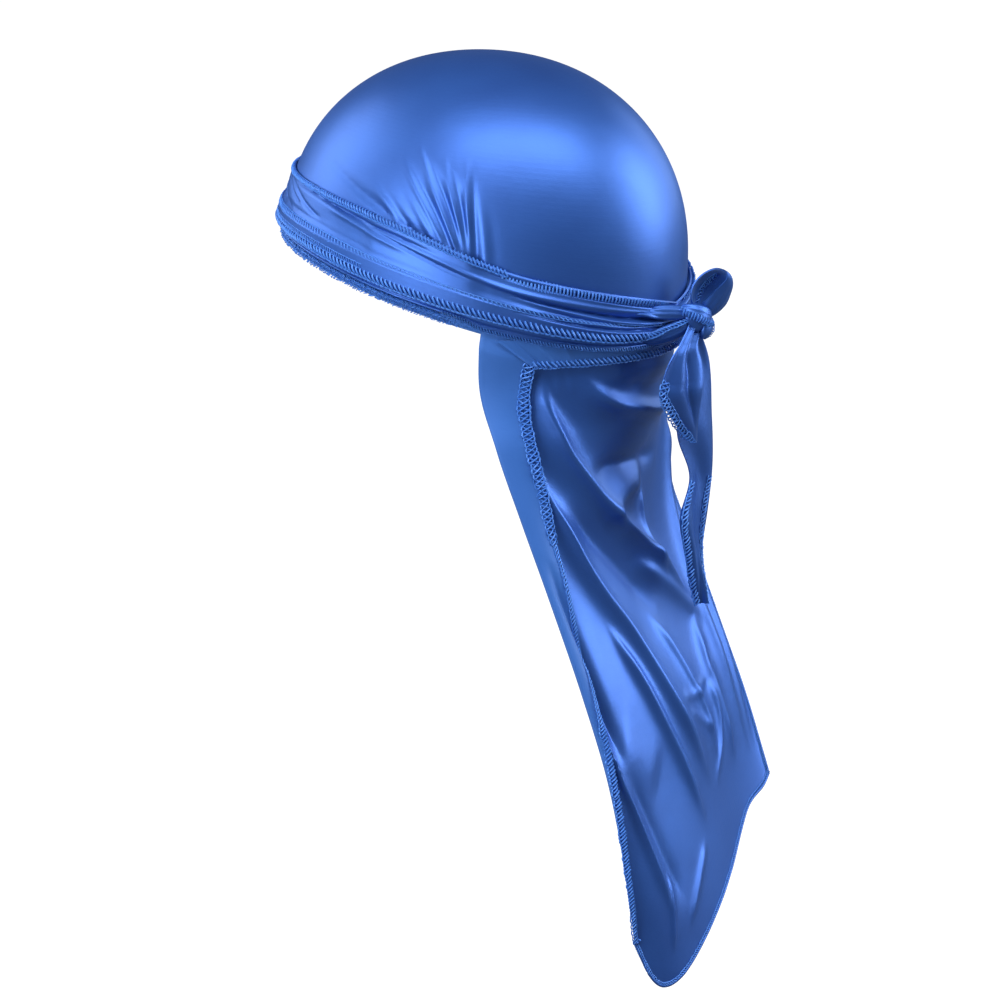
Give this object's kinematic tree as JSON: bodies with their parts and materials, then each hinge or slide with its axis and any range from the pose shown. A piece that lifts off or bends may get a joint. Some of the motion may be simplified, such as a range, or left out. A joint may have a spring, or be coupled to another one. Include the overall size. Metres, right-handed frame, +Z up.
{
  "type": "tied satin durag",
  "caption": "Smooth satin head wrap with a domed cap, gathered ties wound round it and knotted at the back, and a long hanging cape.",
  "frame": {"origin": "the middle of the head, on the widest ring of the crown, where the wearer's head holds the cap", "axes": "+Z up, the wearer faces -Y, the wearer's left is +X"},
  "size_m": [0.165, 0.232, 0.4224],
  "materials": {
    "satin": "royal blue polyester satin, glossy face with soft broad highlights",
    "satin_reverse": "the matte reverse side of the same satin",
    "overlock_thread": "dense matte overlock stitches in thread of the cloth's colour"
  },
  "bodies": {
    "root": {"crown": "satin", "front_hem": "overlock_thread", "lower_wrap": "satin", "upper_wrap": "satin", "nape_wrap": "satin_reverse", "cape": "satin", "knot": "satin", "bow_loop": "satin", "tie_end_short": "satin", "tie_end_long": "satin"}
  },
  "joints": []
}
